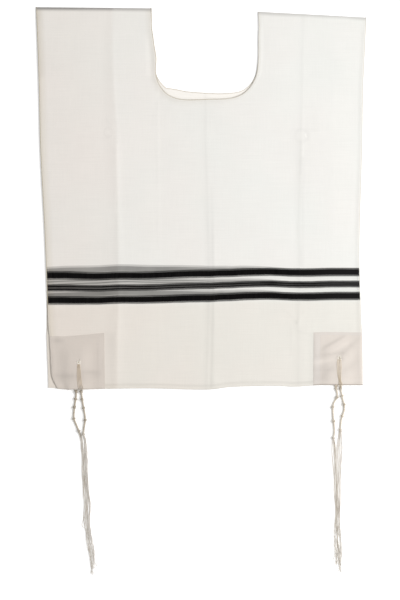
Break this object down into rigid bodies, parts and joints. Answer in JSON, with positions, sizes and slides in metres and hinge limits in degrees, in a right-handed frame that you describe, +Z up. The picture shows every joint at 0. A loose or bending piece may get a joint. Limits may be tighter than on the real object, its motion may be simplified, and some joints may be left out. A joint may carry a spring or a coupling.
{
  "type": "tallit katan",
  "caption": "Tallit katan laid flat: thin striped wool folded at the shoulders, with a rounded neck hole, a sewn square and eyelet at each corner, and knotted tassels.",
  "frame": {"origin": "centre of the overall box, on the surface that the garment lies on", "axes": "+X across the garment to the right of the picture, +Y from the tassels towards the shoulders, +Z up from the surface"},
  "size_m": [0.5755, 0.99, 0.009],
  "materials": {
    "wool": "matt thin woven wool, cream, with black woven stripes",
    "patch": "matt woven wool, darker where it lies double",
    "string": "matt plied wool string"
  },
  "bodies": {
    "root": {"garment_cloth": "wool", "corner_square_front_left": "patch", "corner_square_front_right": "patch", "corner_square_back_left": "patch", "corner_square_back_right": "patch", "tassel_front_left": "string", "tassel_front_right": "string", "tassel_back_left": "string", "tassel_back_right": "string"}
  },
  "joints": []
}
